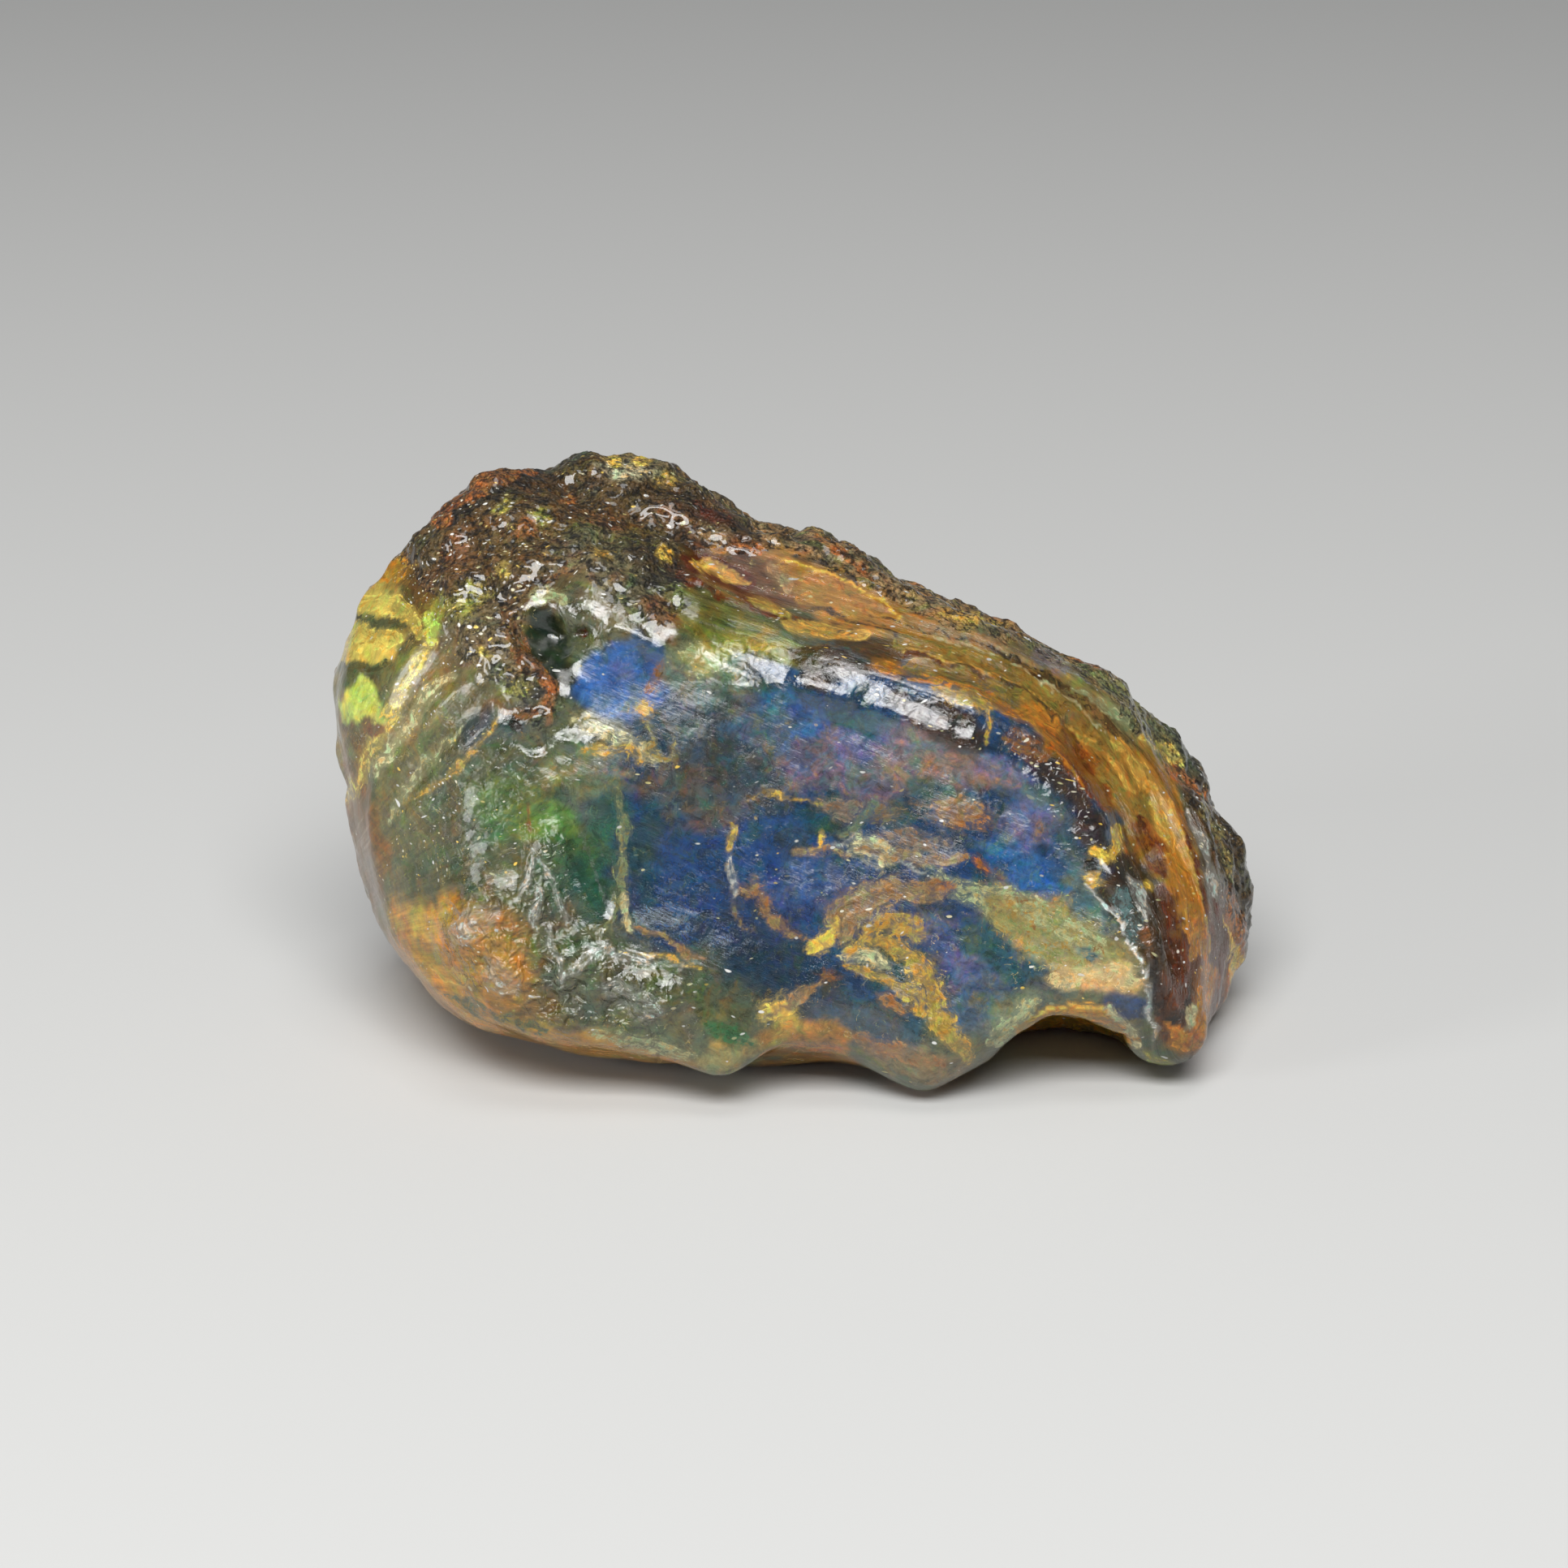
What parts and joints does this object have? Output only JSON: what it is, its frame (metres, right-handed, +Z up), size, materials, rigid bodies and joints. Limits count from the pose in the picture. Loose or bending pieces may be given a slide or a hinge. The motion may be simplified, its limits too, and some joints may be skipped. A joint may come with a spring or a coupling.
{
  "type": "blue amber nugget",
  "caption": "Nugget of fossil tree resin, see-through and polished in front, with weathered rind on its top and back, lying on a flat base.",
  "frame": {"origin": "under the middle of the stone, on the flat base it rests on", "axes": "+X to the stone's right seen from in front, -Y out of the polished window, +Z up"},
  "size_m": [0.0406, 0.0212, 0.0244],
  "materials": {
    "amber": "polished fossil resin, see-through gold with blue and green in its depth, under glossy orange flow layers and a granular brown rind"
  },
  "bodies": {
    "root": {"amber_nugget": "amber"}
  },
  "joints": []
}
